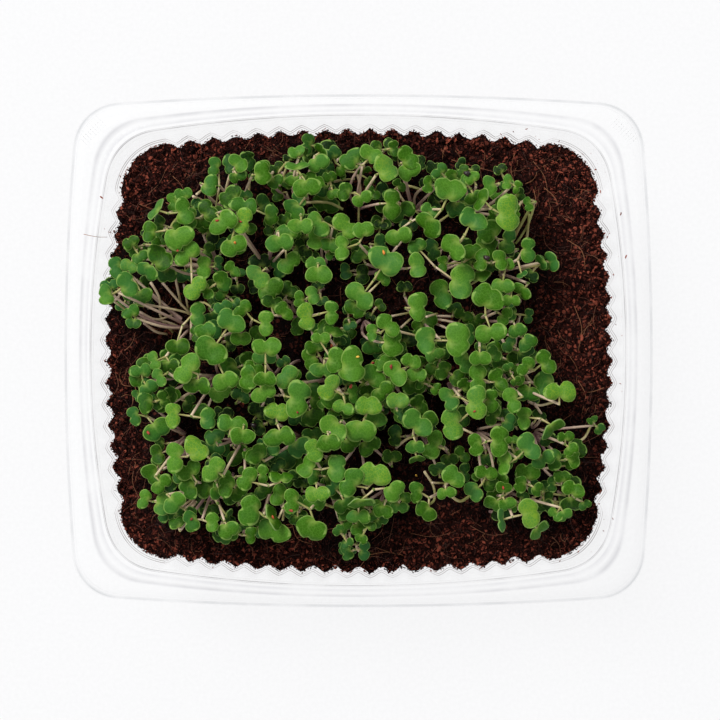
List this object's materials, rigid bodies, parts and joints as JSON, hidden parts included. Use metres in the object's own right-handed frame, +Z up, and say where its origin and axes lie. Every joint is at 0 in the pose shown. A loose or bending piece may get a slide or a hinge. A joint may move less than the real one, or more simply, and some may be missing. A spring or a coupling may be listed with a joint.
{
  "type": "tray of red russian kale microgreens",
  "caption": "Low clear fluted tray with a rolled rim, filled with dark coir that holds a dense uneven stand of kale seedlings with paired notched leaves on pale stems.",
  "frame": {"origin": "middle of the tray's underside, on the surface it stands on", "axes": "+X along the tray's long sides, to the right in the picture; +Y along its short sides, up in the picture; +Z up"},
  "size_m": [0.155, 0.135, 0.062],
  "materials": {
    "clear_plastic": "gloss",
    "coir": "matte",
    "kale": "satin"
  },
  "bodies": {
    "root": {"tray": "clear_plastic", "coir": "coir", "kale_clump_01": "kale", "kale_clump_02": "kale", "kale_clump_03": "kale", "kale_clump_04": "kale", "kale_clump_05": "kale", "kale_clump_06": "kale", "kale_clump_07": "kale", "kale_clump_08": "kale", "kale_clump_09": "kale", "kale_clump_10": "kale", "kale_clump_11": "kale", "kale_clump_12": "kale", "kale_clump_13": "kale", "kale_clump_14": "kale", "kale_clump_15": "kale", "kale_clump_16": "kale", "kale_clump_17": "kale", "kale_clump_18": "kale", "kale_clump_19": "kale", "kale_clump_20": "kale", "kale_clump_21": "kale", "kale_clump_22": "kale", "kale_clump_23": "kale", "kale_clump_24": "kale", "kale_clump_25": "kale", "kale_clump_26": "kale", "kale_clump_27": "kale", "kale_clump_28": "kale", "kale_clump_29": "kale", "kale_clump_30": "kale", "kale_clump_31": "kale", "kale_clump_32": "kale", "kale_clump_33": "kale", "kale_clump_34": "kale", "kale_clump_35": "kale", "kale_clump_36": "kale", "kale_clump_37": "kale", "kale_clump_38": "kale"}
  },
  "joints": []
}
